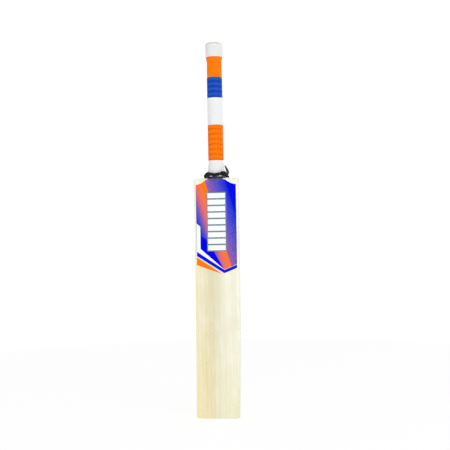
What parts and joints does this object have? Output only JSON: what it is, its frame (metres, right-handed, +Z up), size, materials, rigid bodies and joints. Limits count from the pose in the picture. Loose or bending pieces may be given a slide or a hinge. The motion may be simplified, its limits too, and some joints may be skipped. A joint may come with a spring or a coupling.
{
  "type": "cricket bat",
  "caption": "Cricket bat with a bowed, spined willow blade, V-spliced laminated cane handle, thread binding, banded rubber grip and a tied black cord at the grip's foot.",
  "frame": {"origin": "centre of the flat on which the toe rests", "axes": "+Z up the handle, -Y out of the hitting face, +X to the right of someone who looks at the face"},
  "size_m": [0.1052, 0.0784, 0.8715],
  "materials": {
    "willow": "pale oiled willow with straight grain along the blade, satin",
    "cane": "split cane laminations, sealed ends",
    "spring_rubber": "thin cork-rubber sheet",
    "thread": "tight winding of dark waxed thread",
    "grip_white": "white moulded rubber, fine dimple, matt",
    "grip_orange": "orange moulded rubber with ribs, soft sheen",
    "grip_blue": "blue moulded rubber with ribs, soft sheen",
    "cord": "black braided cord",
    "print_gradient": "printed film fading from orange through purple to blue, gloss",
    "print_white": "white printed film with grey outlines",
    "print_blue": "blue printed film, gloss",
    "print_orange": "orange printed film, gloss"
  },
  "bodies": {
    "root": {"blade": "willow", "cane_front_left": "cane", "cane_front_centre": "cane", "cane_front_right": "cane", "cane_midfront_left": "cane", "cane_midfront_centre": "cane", "cane_midfront_right": "cane", "cane_midrear_left": "cane", "cane_midrear_centre": "cane", "cane_midrear_right": "cane", "cane_rear_left": "cane", "cane_rear_centre": "cane", "cane_rear_right": "cane", "spring_front": "spring_rubber", "spring_middle": "spring_rubber", "spring_rear": "spring_rubber", "twine_binding": "thread", "grip_end_cap": "grip_white", "grip_band_orange_upper": "grip_orange", "grip_band_blue": "grip_blue", "grip_band_white": "grip_white", "grip_band_orange_lower": "grip_orange", "grip_base_white": "grip_white", "tie_cord": "cord", "decal_face_panel": "print_gradient", "decal_face_flash": "print_white", "decal_face_stripe_blue": "print_blue", "decal_face_stripe_orange": "print_orange", "decal_face_bars": "print_white", "decal_back_left": "print_gradient", "decal_back_right": "print_gradient"}
  },
  "joints": []
}
